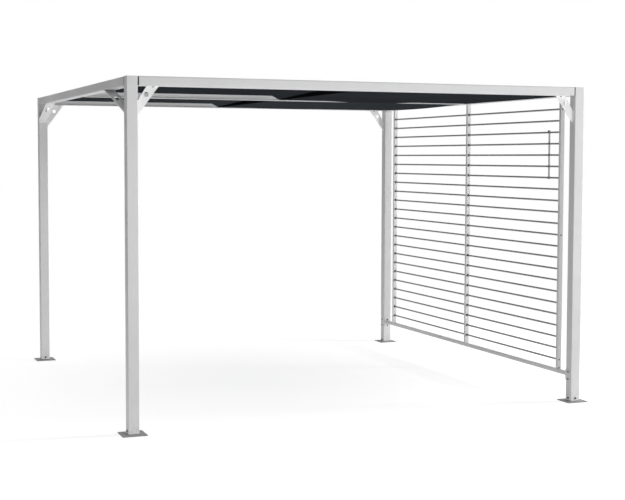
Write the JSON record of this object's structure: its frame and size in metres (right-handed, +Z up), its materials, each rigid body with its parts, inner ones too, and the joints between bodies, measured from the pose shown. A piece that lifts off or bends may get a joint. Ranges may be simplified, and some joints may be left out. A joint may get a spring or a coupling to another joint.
{
  "type": "garden gazebo",
  "caption": "Open square garden gazebo: light grey square tube frame on bolted feet, dark sliding fabric roof and a side screen of thin horizontal bars.",
  "frame": {"origin": "middle of the footprint, on the ground under the base plates", "axes": "+Z up, front towards -Y, left to right along +X with the bar screen on the +X side"},
  "size_m": [3.08, 3.08, 2.043],
  "materials": {
    "frame": "satin light grey powder coat",
    "brace": "satin pale grey powder coat",
    "foot": "mid grey powder coat",
    "screen": "satin grey powder coat",
    "plug": "matt black",
    "dark_bar": "dark grey powder coat",
    "canopy": "matt dark grey woven cloth"
  },
  "bodies": {
    "root": {"front_left_post": "frame", "front_left_cap": "frame", "front_left_foot": "foot", "front_left_canopy": "canopy", "front_right_post": "frame", "front_right_cap": "frame", "front_right_foot": "foot", "front_right_canopy": "canopy", "back_left_post": "frame", "back_left_cap": "frame", "back_left_foot": "foot", "back_left_canopy": "canopy", "back_right_post": "frame", "back_right_cap": "frame", "back_right_foot": "foot", "back_right_canopy": "canopy", "front_beam": "frame", "back_beam": "frame", "left_beam": "frame", "right_beam": "frame", "middle_beam": "frame", "front_beam_plugs": "plug", "back_beam_plugs": "plug", "left_beam_plugs": "plug", "right_beam_plugs": "plug", "front_beam_left_brace": "brace", "front_beam_right_brace": "brace", "back_beam_left_brace": "brace", "back_beam_right_brace": "brace", "left_beam_front_stay": "brace", "left_beam_back_stay": "brace", "front_canopy_bar": "dark_bar", "back_canopy_bar": "dark_bar", "screen_bottom_rail": "screen", "screen_front_stile": "screen", "screen_back_stile": "screen", "screen_mullion": "screen", "screen_tie": "screen", "rail_front_bracket": "screen", "rail_back_bracket": "screen", "screen_front_bars": "screen", "screen_back_bars": "screen"}
  },
  "joints": []
}
